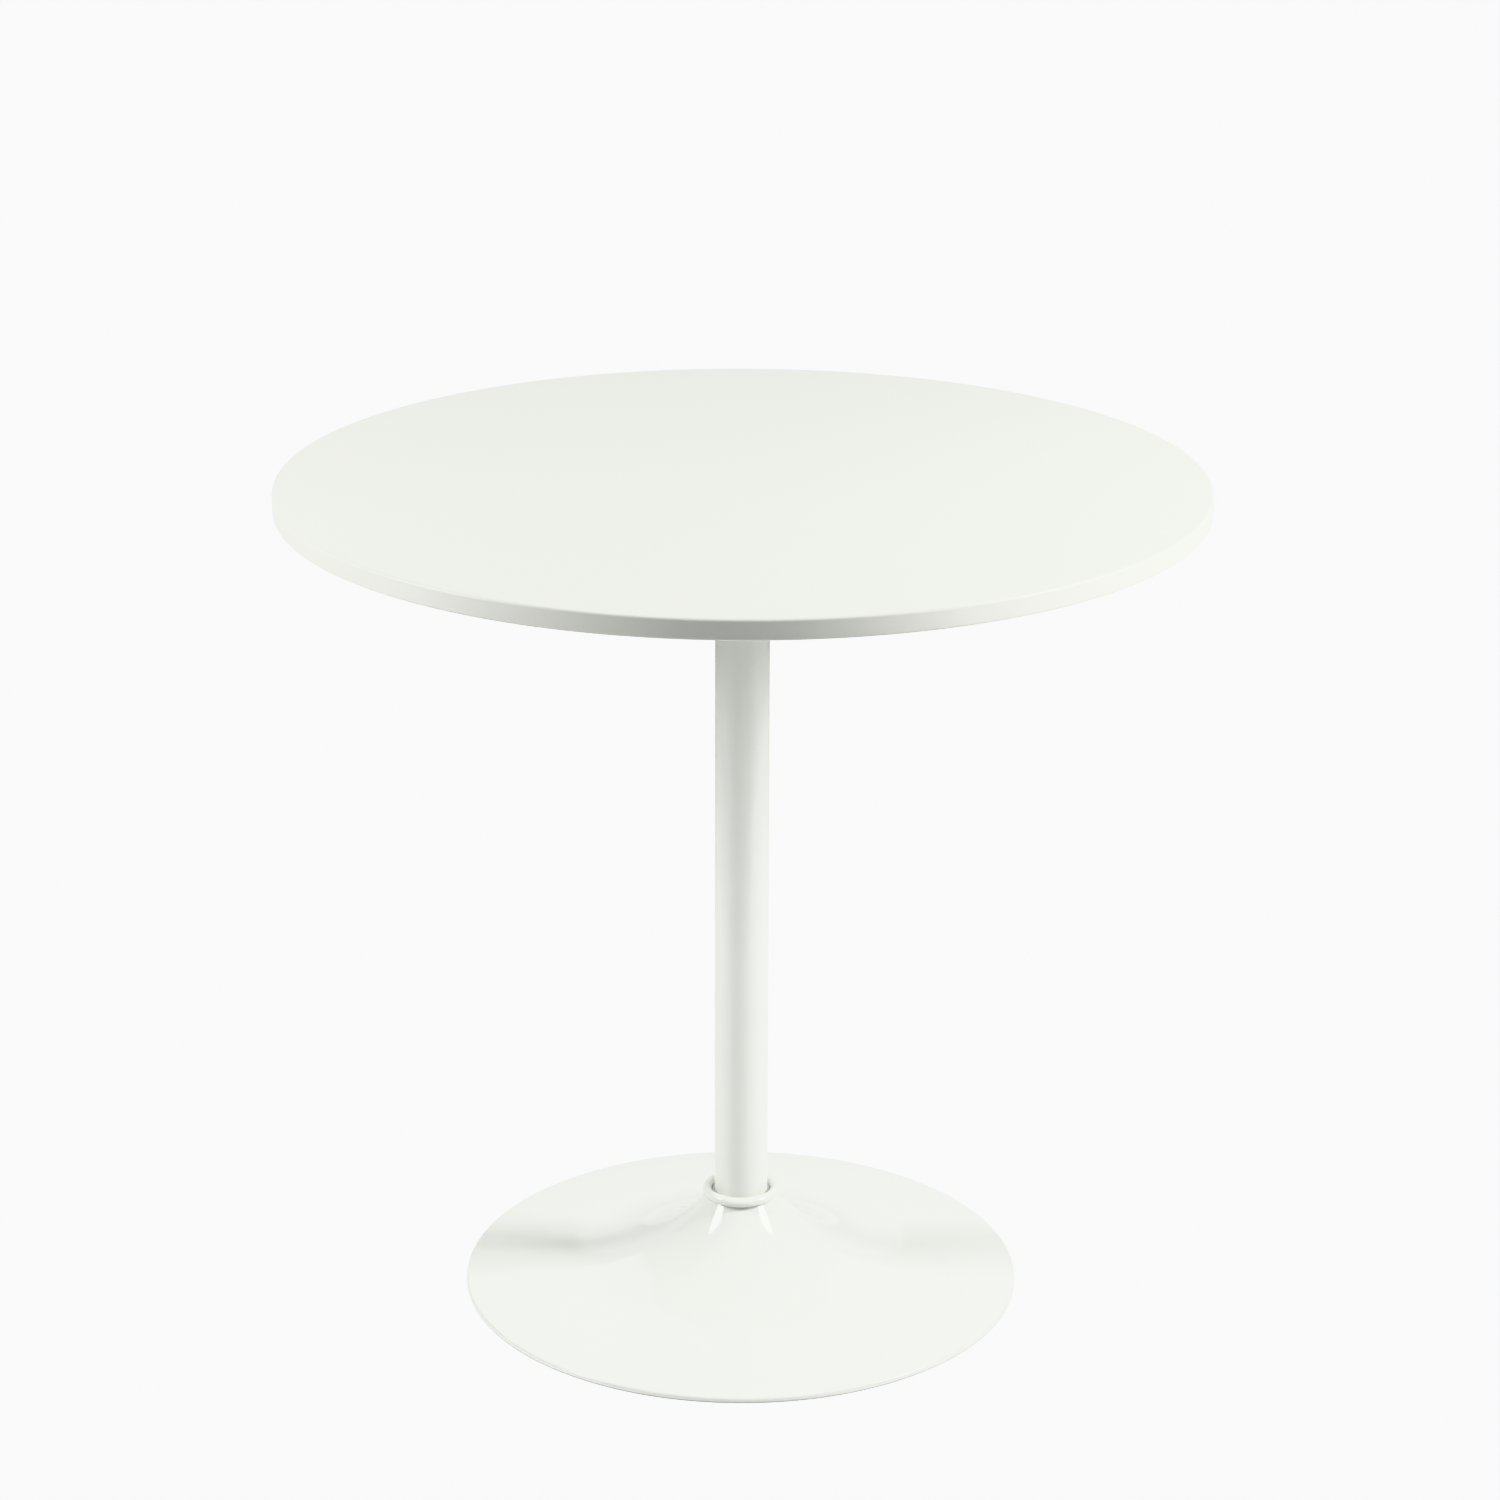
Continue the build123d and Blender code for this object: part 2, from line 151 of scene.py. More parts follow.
class Finish(Graph):
    """A material whose surface is one principled shader."""

    def __init__(self, name):
        self.material = bpy.data.materials.new(name + LOOK)
        self.material.use_nodes = True
        super().__init__(self.material.node_tree)
        self.place = self.node("ShaderNodeTexCoord", out="Object")

    def noise(self, scale, detail=2.0, roughness=0.5, place=None):
        values = {"Vector": place or self.place, "Scale": scale}
        values.update({"Detail": detail, "Roughness": roughness})
        return self.node("ShaderNodeTexNoise", {}, values)

    def stretched(self, x, y, z):
        """The object's own coordinates, scaled unevenly."""
        return self.node("ShaderNodeMapping", {}, {"Vector": self.place, "Scale": (x, y, z)})

    def ramp(self, fac, *stops):
        return self.node("ShaderNodeValToRGB", {"stops": stops}, {"Fac": fac})

    def blend(self, mask, first, second):
        return self.node("ShaderNodeMix", {"data_type": "RGBA"}, {0: mask, 6: first, 7: second}, out=2)

    def bump(self, height, strength, distance, normal=None):
        values = {"Height": height, "Strength": strength, "Distance": distance}
        if normal:
            values["Normal"] = normal
        return self.node("ShaderNodeBump", {}, values)

    def done(self, **sockets):
        values = {name.replace("_", " "): value for name, value in sockets.items()}
        shader = self.node("ShaderNodeBsdfPrincipled", {}, values)
        self.node("ShaderNodeOutputMaterial", {}, {"Surface": shader})
        return self.material


def shade(colour, factor):
    """A linear colour made lighter or darker, as the four numbers that a socket takes."""
    return tuple(min(1.0, c * factor) for c in colour[:3]) + (1.0,)


# ---------------------------------------------------------------------------
# Finishes
# ---------------------------------------------------------------------------

def top_lacquer(looks):
    """White satin lacquer, with the faint peel that a spray gun leaves."""
    f = Finish("top_lacquer")
    drift = f.noise(3.5, 3.0)
    peel = f.noise(420.0, 2.0, 0.45)
    dust = f.ramp(f.noise(1500.0, 1.0), (0.70, 0.0), (0.78, 1.0))
    colour = f.blend(drift, shade(looks.lacquer, 0.985), shade(looks.lacquer, 1.0))
    colour = f.blend(dust * 0.06, colour, shade(looks.lacquer, 0.8))
    rough = 0.36 + drift * 0.08 + peel * 0.03
    height = f.bump(peel, 0.10, 0.05 * MM, f.bump(f.noise(60.0), 0.05, 0.1 * MM))
    return f.done(Base_Color=colour, Roughness=rough, Normal=height)


def white_coat(looks):
    """White gloss powder coat, with its orange peel."""
    f = Finish("white_coat")
    drift = f.noise(6.0, 3.0)
    peel = f.noise(330.0, 1.5, 0.4)
    colour = f.blend(drift, shade(looks.powder, 0.98), shade(looks.powder, 1.0))
    specks = f.ramp(f.noise(1300.0, 1.0), (0.71, 0.0), (0.80, 1.0))
    colour = f.blend(specks * 0.08, colour, shade(looks.powder, 0.75))
    rough = 0.04 + drift * 0.04 + peel * 0.01
    height = f.bump(peel, 0.12, 0.06 * MM)
    return f.done(Base_Color=colour, Roughness=rough, Normal=height)


def zinc_plate(looks):
    """Bright zinc plate: bluish metal with a fine, cloudy crystal."""
    f = Finish("zinc_plate")
    cloud = f.noise(240.0, 4.0, 0.6)
    grain = f.noise(2600.0, 2.0)
    colour = f.blend(cloud, (0.50, 0.53, 0.57, 1.0), (0.72, 0.73, 0.72, 1.0))
    return f.done(Base_Color=colour, Metallic=1.0, Roughness=0.24 + cloud * 0.14 + grain * 0.06,
                  Normal=f.bump(grain, 0.15, 0.02 * MM))


def turned_steel(looks):
    """Oiled steel with the fine rings of a lathe tool."""
    f = Finish("turned_steel")
    rings = f.node("ShaderNodeTexWave", {"wave_type": "RINGS", "rings_direction": "Z"},
                   {"Vector": f.place, "Scale": 420.0, "Distortion": 0.6, "Detail": 1.0}, out=1)
    stain = f.noise(70.0, 4.0)
    colour = f.blend(stain, (0.30, 0.29, 0.28, 1.0), (0.46, 0.455, 0.45, 1.0))
    return f.done(Base_Color=colour, Metallic=1.0, Roughness=0.3 + stain * 0.12,
                  Normal=f.bump(rings, 0.25, 0.03 * MM))


def cast_iron(looks):
    """Sand-cast iron under a thin black primer."""
    f = Finish("cast_iron")
    sand = f.noise(700.0, 5.0, 0.65)
    lumps = f.noise(60.0, 3.0)
    wear = f.ramp(f.noise(160.0, 5.0, 0.7), (0.55, 0.0), (0.68, 1.0))
    colour = f.blend(wear * 0.5, (0.012, 0.012, 0.013, 1.0), (0.045, 0.032, 0.026, 1.0))
    height = f.bump(sand, 0.6, 0.25 * MM, f.bump(lumps, 0.4, 0.8 * MM))
    return f.done(Base_Color=colour, Metallic=0.0, Roughness=0.62 + sand * 0.2, Normal=height)


def grey_coat(looks):
    """Thin grey primer, a little dusty and rubbed."""
    f = Finish("grey_coat")
    spray = f.noise(1100.0, 3.0, 0.6)
    drift = f.noise(9.0, 4.0, 0.6)
    scuffs = f.ramp(f.noise(40.0, 6.0, 0.75, f.stretched(1.0, 6.0, 1.0)), (0.60, 0.0), (0.72, 1.0))
    colour = f.blend(drift, shade(looks.primer, 0.8), shade(looks.primer, 1.15))
    colour = f.blend(scuffs * 0.35, colour, shade(looks.primer, 2.2))
    return f.done(Base_Color=colour, Roughness=0.48 + spray * 0.14 + scuffs * 0.1,
                  Normal=f.bump(spray, 0.3, 0.05 * MM))


def black_plastic(looks):
    """Moulded black plastic with a fine spark-eroded grain."""
    f = Finish("black_plastic")
    grain = f.noise(1900.0, 3.0, 0.6)
    bloom = f.noise(30.0, 3.0)
    colour = f.blend(bloom, (0.010, 0.010, 0.011, 1.0), (0.020, 0.020, 0.021, 1.0))
    return f.done(Base_Color=colour, Roughness=0.44 + grain * 0.16,
                  Normal=f.bump(grain, 0.35, 0.05 * MM))


def pale_vinyl(looks):
    """Soft pale vinyl with a faint haze of dust."""
    f = Finish("pale_vinyl")
    haze = f.noise(45.0, 4.0, 0.6)
    grain = f.noise(1600.0, 2.0)
    colour = f.blend(haze, shade(looks.vinyl, 0.9), shade(looks.vinyl, 1.0))
    return f.done(Base_Color=colour, Roughness=0.42 + haze * 0.14,
                  Normal=f.bump(grain, 0.2, 0.04 * MM))


FINISHES = {
    "top_lacquer": top_lacquer,
    "white_coat": white_coat,
    "zinc_plate": zinc_plate,
    "turned_steel": turned_steel,
    "cast_iron": cast_iron,
    "grey_coat": grey_coat,
    "black_plastic": black_plastic,
    "pale_vinyl": pale_vinyl,
}


def finish(slot):
    """The material of a slot, made the first time that it is asked for."""
    found = bpy.data.materials.get(slot + LOOK)
    return found or FINISHES[slot](bpy.context.scene.table_looks)


# ---------------------------------------------------------------------------
# Geometry node trees
# ---------------------------------------------------------------------------

class Recipe(Graph):
    """A geometry node tree with named inputs, which ends in Realize Instances and Set Material."""

    def __init__(self, name, inputs):
        group = bpy.data.node_groups.new(name, "GeometryNodeTree")
        super().__init__(group)
        group.interface.new_socket("Geometry", in_out="INPUT", socket_type="NodeSocketGeometry")
        group.interface.new_socket("Geometry", in_out="OUTPUT", socket_type="NodeSocketGeometry")
        for label, (kind, default) in inputs.items():
            socket = group.interface.new_socket(label, in_out="INPUT", socket_type="NodeSocket" + kind)
            socket.default_value = default
        group.interface.new_socket("Material", in_out="INPUT", socket_type="NodeSocketMaterial")
        self.source = group.nodes.new("NodeGroupInput")

    def given(self, label):
        return Wire(self, self.source.outputs[label])

    def vector(self, x=0.0, y=0.0, z=0.0):
        return self.node("ShaderNodeCombineXYZ", {}, {0: x, 1: y, 2: z})

    def end(self, geometry):
        real = self.node("GeometryNodeRealizeInstances", {}, {"Geometry": geometry})
        done = self.node("GeometryNodeSetMaterial", {},
                         {"Geometry": real, "Material": self.given("Material")})
        self.node("NodeGroupOutput", {}, {"Geometry": done})
        return self.tree


def turning_recipe():
    """Rounds the corners of a section and turns it about the Z axis."""
    r = Recipe("Turned piece", {"Segments": ("Int", 64)})
    rail_radius = 1.0
    curve = r.node("GeometryNodeMeshToCurve", {}, {"Mesh": r.given("Geometry")})
    radius = r.node("GeometryNodeInputNamedAttribute", {"data_type": "FLOAT"}, {"Name": "round"})
    steps = r.node("GeometryNodeInputNamedAttribute", {"data_type": "INT"}, {"Name": "steps"})
    section = r.node("GeometryNodeFilletCurve", {"mode": "POLY"},
                     {"Curve": curve, "Count": steps, "Radius": radius, "Limit Radius": True})
    section = r.node("GeometryNodeTransform", {},
                     {"Geometry": section, "Translation": (-rail_radius, 0, 0), "Scale": (1, -1, 1)})
    rail = r.node("GeometryNodeCurvePrimitiveCircle", {},
                  {"Resolution": r.given("Segments"), "Radius": rail_radius})
    solid = r.node("GeometryNodeCurveToMesh", {}, {"Curve": rail, "Profile Curve": section})
    solid = r.node("GeometryNodeMergeByDistance", {}, {"Geometry": solid, "Distance": MERGE})
    return r.end(solid)


def drilling_recipe():
    """Takes a ring of round or tapered holes out of a piece."""
    inputs = {
        "Count": ("Int", 6), "Circle Radius": ("Float", 0.1), "Start Angle": ("Float", 0.0),
        "Bottom": ("Float", 0.0), "Depth": ("Float", 0.01),
        "Radius Bottom": ("Float", 0.003), "Radius Top": ("Float", 0.003),
    }
    r = Recipe("Ring of holes", inputs)
    ring = r.node("GeometryNodeMeshCircle", {"fill_type": "NONE"},
                  {"Vertices": r.given("Count"), "Radius": r.given("Circle Radius")})
    ring = r.node("GeometryNodeTransform", {},
                  {"Geometry": ring, "Translation": r.vector(z=r.given("Bottom")),
                   "Rotation": r.vector(z=r.given("Start Angle"))})
    drill = r.node("GeometryNodeMeshCone", {"fill_type": "NGON"},
                   {"Vertices": 48, "Radius Top": r.given("Radius Top"),
                    "Radius Bottom": r.given("Radius Bottom"), "Depth": r.given("Depth")})
    drills = r.node("GeometryNodeInstanceOnPoints", {}, {"Points": ring, "Instance": drill})
    drills = r.node("GeometryNodeRealizeInstances", {}, {"Geometry": drills})
    cut = r.node("GeometryNodeMeshBoolean", {"operation": "DIFFERENCE", "solver": "EXACT"},
                 {"Mesh 1": r.given("Geometry"), "Mesh 2": [drills]})
    return r.end(cut)


def socket_recipe():
    """Sinks a six-sided key socket into a fastener's head."""
    inputs = {"Across Flats": ("Float", 0.004), "Bottom": ("Float", 0.0), "Depth": ("Float", 0.002)}
    r = Recipe("Key socket", inputs)
    prism = r.node("GeometryNodeMeshCylinder", {"fill_type": "NGON"},
                   {"Vertices": 6, "Radius": r.given("Across Flats") * (1 / math.sqrt(3.0)),
                    "Depth": r.given("Depth")})
    lift = r.given("Bottom") + r.given("Depth") * 0.5
    prism = r.node("GeometryNodeTransform", {}, {"Geometry": prism, "Translation": r.vector(z=lift)})
    cut = r.node("GeometryNodeMeshBoolean", {"operation": "DIFFERENCE", "solver": "EXACT"},
                 {"Mesh 1": r.given("Geometry"), "Mesh 2": [prism]})
    return r.end(cut)


def ring_recipe():
    """Sets copies of a fastener round a circle, each turned as it happened to stop."""
    inputs = {
        "Count": ("Int", 6), "Circle Radius": ("Float", 0.1), "Start Angle": ("Float", 0.0),
        "Seed": ("Int", 4),
    }
    r = Recipe("Ring of fasteners", inputs)
    ring = r.node("GeometryNodeMeshCircle", {"fill_type": "NONE"},
                  {"Vertices": r.given("Count"), "Radius": r.given("Circle Radius")})
    ring = r.node("GeometryNodeTransform", {},
                  {"Geometry": ring, "Rotation": r.vector(z=r.given("Start Angle"))})
    turn = r.node("FunctionNodeRandomValue", {"data_type": "FLOAT"},
                  {2: 0.0, 3: math.tau, "Seed": r.given("Seed")}, out=1)
    copies = r.node("GeometryNodeInstanceOnPoints", {},
                    {"Points": ring, "Instance": r.given("Geometry"), "Rotation": r.vector(z=turn)})
    return r.end(copies)


RECIPES = {
    "Turned piece": turning_recipe,
    "Ring of holes": drilling_recipe,
    "Key socket": socket_recipe,
    "Ring of fasteners": ring_recipe,
}


def run(piece, recipe, slot, **inputs):
    """Runs a recipe on a piece, and keeps the result as a plain mesh."""
    tree = bpy.data.node_groups.get(recipe) or RECIPES[recipe]()
    modifier = piece.modifiers.new(recipe, "NODES")
    modifier.node_group = tree
    inputs["Material"] = finish(slot)
    for item in tree.interface.items_tree:
        label = item.name.replace(" ", "_")
        if item.in_out == "INPUT" and (label in inputs or item.name in inputs):
            modifier[item.identifier] = inputs.get(label, inputs.get(item.name))
    bpy.context.view_layer.update()
    seen = piece.evaluated_get(bpy.context.evaluated_depsgraph_get())
    mesh = bpy.data.meshes.new_from_object(seen)
    piece.modifiers.clear()
    piece.data = mesh
    if not len(mesh.polygons):
        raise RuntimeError(f"{recipe} left nothing of {piece.name}")
    return piece


# ---------------------------------------------------------------------------
# Turned pieces
# ---------------------------------------------------------------------------

def corner(radius, height, rounding=0.0, steps=4):
    """One corner of a section: its place, how far it is rounded and in how many steps."""
    return (radius, height, rounding, steps)


def arc(centre, radius, start, end, steps):
    """Corners along an arc, between two angles in degrees."""
    turns = [math.radians(start + (end - start) * i / steps) for i in range(steps + 1)]
    return [corner(centre[0] + radius * math.cos(t), centre[1] + radius * math.sin(t)) for t in turns]


def with_supports(corners, closed):
    """The corners, with points beside the rounded ones, so that long flats shade flat."""
    margin = 0.8 * MM
    large_round = 5.0 * MM
    made = []
    count = len(corners)
    for i, here in enumerate(corners):
        made.append(here)
        if i == count - 1 and not closed:
            break
        there = corners[(i + 1) % count]
        a, b = Vector(here[:2]), Vector(there[:2])
        length = (b - a).length
        near = 1.5 * here[2] + margin
        far = 1.5 * there[2] + margin
        if max(here[2], there[2]) > large_round or length < 2.5 * (near + far):
            continue
        for reach in (near, length - far):
            point = a + (b - a) * (reach / length)
            made.append(corner(point.x, point.y))
    return made


def section_object(name, corners, closed):
    """A section in the XY plane as loose edges, x being the radius and y the height."""
    corners = with_supports(corners, closed)
    mesh = bpy.data.meshes.new(name)
    count = len(corners)
    edges = [(i, i + 1) for i in range(count - 1)] + ([(count - 1, 0)] if closed else [])
    mesh.from_pydata([(c[0], c[1], 0.0) for c in corners], edges, [])
    for label, kind, place in (("round", "FLOAT", 2), ("steps", "INT", 3)):
        values = [c[place] for c in corners]
        mesh.attributes.new(label, kind, "POINT").data.foreach_set("value", values)
    piece = bpy.data.objects.new(name, mesh)
    bpy.context.scene.collection.objects.link(piece)
    return piece


def turned(name, slot, corners, closed=True, segments=96):
    """A piece turned about the Z axis from its section."""
    piece = section_object(name, corners, closed)
    return run(piece, "Turned piece", slot, Segments=segments)


def tidy_mesh(piece, sharp_degrees=38.0):
    """Merges doubles, points every face outwards and shades smooth up to a sharp angle."""
    mesh = piece.data
    work = bmesh.new()
    work.from_mesh(mesh)
    bmesh.ops.remove_doubles(work, verts=work.verts, dist=1e-6)
    bmesh.ops.dissolve_degenerate(work, edges=work.edges, dist=1e-7)
    bmesh.ops.recalc_face_normals(work, faces=work.faces)
    work.to_mesh(mesh)
    work.free()
    for name in ("round", "steps"):
        if name in mesh.attributes:
            mesh.attributes.remove(mesh.attributes[name])
    mesh.shade_smooth()
    mesh.set_sharp_from_angle(angle=math.radians(sharp_degrees))
    return piece


def settle(piece, slot, *nodes):
    """Tidies a finished piece, hangs it on the root body and hides the CAD nodes that it stands for. The
    slot is not used.
    """
    tidy_mesh(piece)
    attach(piece, "root")
    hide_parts(*nodes)
    return piece


def reach(node):
    """Outer radius, bottom and top of a CAD node that is turned about the Z axis."""
    low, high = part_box(node)
    return high.x, low.z, high.z


def plain_disc(radius, bottom, top, rounding_bottom, rounding_top, steps=4):
    """Section of a solid disc, from the axis at the bottom to the axis at the top."""
    return [
        corner(0.0, bottom),
        corner(radius, bottom, rounding_bottom, steps),
        corner(radius, top, rounding_top, steps),
        corner(0.0, top),
    ]


def plain_ring(inner, outer, bottom, top, rounding=EDGE_BREAK):
    """Section of a plain ring with its four edges broken."""
    return [
        corner(inner, bottom, rounding),
        corner(outer, bottom, rounding),
        corner(outer, top, rounding),
        corner(inner, top, rounding),
    ]


def thread_corners(radius, depth, start, end, pitch):
    """Corners of a ridged shank between two heights, going up or down."""
    made = []
    count = int(abs(end - start) / pitch)
    step = pitch if end > start else -pitch
    for i in range(count):
        made.append(corner(radius, start + step * i))
        made.append(corner(radius - depth, start + step * (i + 0.5)))
    return made


# ---------------------------------------------------------------------------
# What a user may change
# ---------------------------------------------------------------------------

TOP_RADIUS, TOP_BOTTOM, TOP_HEIGHT = reach("table_top")
PLATE_RADIUS, PLATE_BOTTOM, PLATE_TOP = reach("mounting_plate")
TUBE_RADIUS, TUBE_BOTTOM, TUBE_TOP = reach("column_tube")
RIM_RADIUS, SHELL_BOTTOM, SHELL_TOP = reach("base_shell")


def length(name, text, value):
    """A length in metres."""
    return FloatProperty(name=name, description=text, default=value, min=0.0, precision=5,
                         unit="LENGTH", subtype="DISTANCE")


def number(name, text, value, **more):
    """A number, with its unit if it has one."""
    return FloatProperty(name=name, description=text, default=value, **more)


def angle(name, text, degrees):
    """An angle, whose default is given in degrees."""
    return FloatProperty(name=name, description=text, default=math.radians(degrees), subtype="ANGLE")


def paint(name, text, value):
    """A linear colour."""
    return FloatVectorProperty(name=name, description=text, default=value, size=3,
                               min=0.0, max=1.0, subtype="COLOR")


class TableTopSizes(PropertyGroup):
    """Sizes of the board and what holds it."""

    edge: length("Edge rounding", "Radius along the board's upper and lower edge", 2.5 * MM)
    screw_circle: length("Screw circle", "Radius of the circle of mounting screws", 120 * MM)
    screws: IntProperty(name="Screws", description="Number of mounting screws", default=6, min=3)
    insert_depth: length("Insert hole", "Depth of the blind holes for the inserts", 14 * MM)
    bolt_circle: length("Bolt circle", "Radius of the circle of bolts into the column", 13 * MM)


class ColumnSizes(PropertyGroup):
    """Sizes of the column."""

    wall: length("Tube wall", "Thickness of the tube", 1.5 * MM)


class BaseSizes(PropertyGroup):
    """Sizes of the trumpet base."""

    wall: length("Shell wall", "Thickness of the spun shell", 1.5 * MM)
    neck_slope: angle("Neck slope", "How steeply the neck falls", 50.0)
    flare_slope: angle("Flare slope", "How steeply the flare falls", 3.0)
    flare_radius: length("Flare radius", "Radius between the neck and the flare", 190 * MM)
    neck_radius: length("Neck radius", "Radius of the neck just under the bead", 31 * MM)
    neck_height: length("Neck height", "Height of the neck just under the bead", 79 * MM)
    rim_height: length("Rim height", "Height of the rim's upper corner", 5 * MM)
    rim_rounding: length("Rim rounding", "Radius over the rim", 2 * MM)
    bead_radius: length("Bead radius", "Radius of the rolled bead", 4.3 * MM)
    bead_centre: length("Bead centre", "Distance of the bead from the axis", 30.5 * MM)
    throat: length("Throat rounding", "Radius where the neck turns up into the bead", 2.5 * MM)
    screw_circle: length("Plate screws", "Radius of the circle of base plate screws", 90 * MM)


class TableLooks(PropertyGroup):
    """Colours of the finishes."""

    lacquer: paint("Lacquer", "Colour of the board", (0.925, 0.942, 0.878))
    powder: paint("Powder coat", "Colour of the column and the base", (0.900, 0.917, 0.872))
    primer: paint("Primer", "Colour of the base plate", (0.045, 0.046, 0.048))
    vinyl: paint("Vinyl", "Colour of the rim seal", (0.60, 0.61, 0.58))


class StudioSetting(PropertyGroup):
    """The stage, its lights and its camera."""

    backdrop: number("Backdrop", "How bright the camera sees the floor and the room", 1.84)
    floor_white: number("Floor white", "Share of the light that the floor sends back", 0.78)
    beneath: number("Beneath", "Light on whatever stands on the floor, from below", 1.35)
    room: number("Room", "Strength of the light from the room itself", 0.12)
    left: number("Left", "Power of the softbox on the left", 41.0, unit="POWER")
    right: number("Right", "Power of the softbox on the right", 62.0, unit="POWER")
    back: number("Back", "Power of the softbox behind the table", 16.0, unit="POWER")
    sweep: number("Sweep", "Power of the low white screen behind the table", 8.0, unit="POWER")
    lens: number("Lens", "Focal length", 95.67, subtype="DISTANCE_CAMERA")
    distance: length("Distance", "Level distance of the camera from the column", 3.2885)
    height: length("Camera height", "Height of the camera", 1.6511)
    pitch: angle("Pitch", "How far the camera looks down", 19.205)
    roll: angle("Roll", "How far the camera is turned about its own view", 0.166)
    shift: number("Shift", "Sideways shift of the picture", 0.0052)


# ---------------------------------------------------------------------------
# Fasteners
# ---------------------------------------------------------------------------

def hanging_screw(name, slot, seat, head_radius, head_height, rounding, shank, tip, key):
    """A socket screw driven up from below, its head under the height seat, at the axis."""
    low = seat - head_height
    section = [
        corner(0.0, low),
        corner(head_radius, low, rounding, 6),
        corner(head_radius, seat, 0.15 * MM),
        corner(shank, seat),
    ]
    section += thread_corners(shank, depth=0.45 * MM, start=seat + 1.5 * MM, end=tip - 1.0 * MM,
                              pitch=1.0 * MM)
    section += [corner(shank - 0.8 * MM, tip), corner(0.0, tip)]
    piece = turned(name, slot, section, closed=False, segments=40)
    depth = head_height * KEY_SHARE + OVERRUN
    return run(piece, "Key socket", slot, Across_Flats=key, Bottom=low - OVERRUN, Depth=depth)


def sunk_screw(name, slot, face, head_radius, head_height, shank, tip, key):
    """A countersunk socket screw at the axis, from its wide face to its tip, up or down."""
    way = 1.0 if tip > face else -1.0
    section = [
        corner(0.0, face),
        corner(head_radius, face, 0.1 * MM, 2),
        corner(shank, face + way * head_height, 0.2 * MM, 2),
    ]
    first = face + way * (head_height + 1.0 * MM)
    section += thread_corners(shank, depth=0.4 * MM, start=first, end=tip - way * MM, pitch=1.0 * MM)
    section += [corner(shank - 0.7 * MM, tip), corner(0.0, tip)]
    piece = turned(name, slot, section, closed=False, segments=40)
    depth = head_height * KEY_SHARE + OVERRUN
    bottom = face - OVERRUN if way > 0 else face - head_height * KEY_SHARE
    return run(piece, "Key socket", slot, Across_Flats=key, Bottom=bottom, Depth=depth)


def ringed(piece, slot, node, count, radius, start=0.0, seed=4):
    run(piece, "Ring of fasteners", slot, Count=count, Circle_Radius=radius, Start_Angle=start, Seed=seed)
    return settle(piece, slot, node)


# ---------------------------------------------------------------------------
# Operators
# ---------------------------------------------------------------------------

class Maker(Operator):
    """Common ground of the operators that make a piece."""

    bl_options = {"REGISTER", "UNDO"}

    def execute(self, context):
        self.make(context.scene)
        return {"FINISHED"}


class TABLE_OT_board(Maker):
    """Make the lacquered board of the table top"""

    bl_idname = "pedestal.board"
    bl_label = "Table top"

    def make(self, scene):
        sizes = scene.table_top_sizes
        section = plain_disc(TOP_RADIUS, TOP_BOTTOM, TOP_HEIGHT, sizes.edge, sizes.edge, 10)
        board = turned("board", "top_lacquer", section, closed=False, segments=360)
        run(board, "Ring of holes", "top_lacquer", Count=sizes.screws, Circle_Radius=sizes.screw_circle,
            Bottom=TOP_BOTTOM - OVERRUN, Depth=sizes.insert_depth + OVERRUN,
            Radius_Bottom=INSERT_HOLE, Radius_Top=INSERT_HOLE)
        settle(board, "top_lacquer", "table_top")


class TABLE_OT_plate(Maker):
    """Make the round plate that carries the top on the column"""

    bl_idname = "pedestal.plate"
    bl_label = "Mounting plate"

    def make(self, scene):
        sizes = scene.table_top_sizes
        section = plain_disc(PLATE_RADIUS, PLATE_BOTTOM, PLATE_TOP, 1.0 * MM, EDGE_BREAK)
        plate = turned("mounting_disc", "white_coat", section, closed=False, segments=192)
        under = PLATE_BOTTOM - OVERRUN
        deep = PLATE_TOP - PLATE_BOTTOM + 2 * OVERRUN
        run(plate, "Ring of holes", "white_coat", Count=sizes.screws, Circle_Radius=sizes.screw_circle,
            Bottom=under, Depth=deep, Radius_Bottom=SCREW_HOLE, Radius_Top=SCREW_HOLE)
        for bottom, depth, high in (
            (under, deep, BOLT_HOLE),
            (PLATE_TOP - BOLT_HEAD, BOLT_HEAD + OVERRUN, BOLT_SINK),
        ):
            run(plate, "Ring of holes", "white_coat", Count=HEAD_BOLTS, Circle_Radius=sizes.bolt_circle,
                Bottom=bottom, Depth=depth, Radius_Bottom=BOLT_HOLE, Radius_Top=high)
        settle(plate, "white_coat", "mounting_plate")


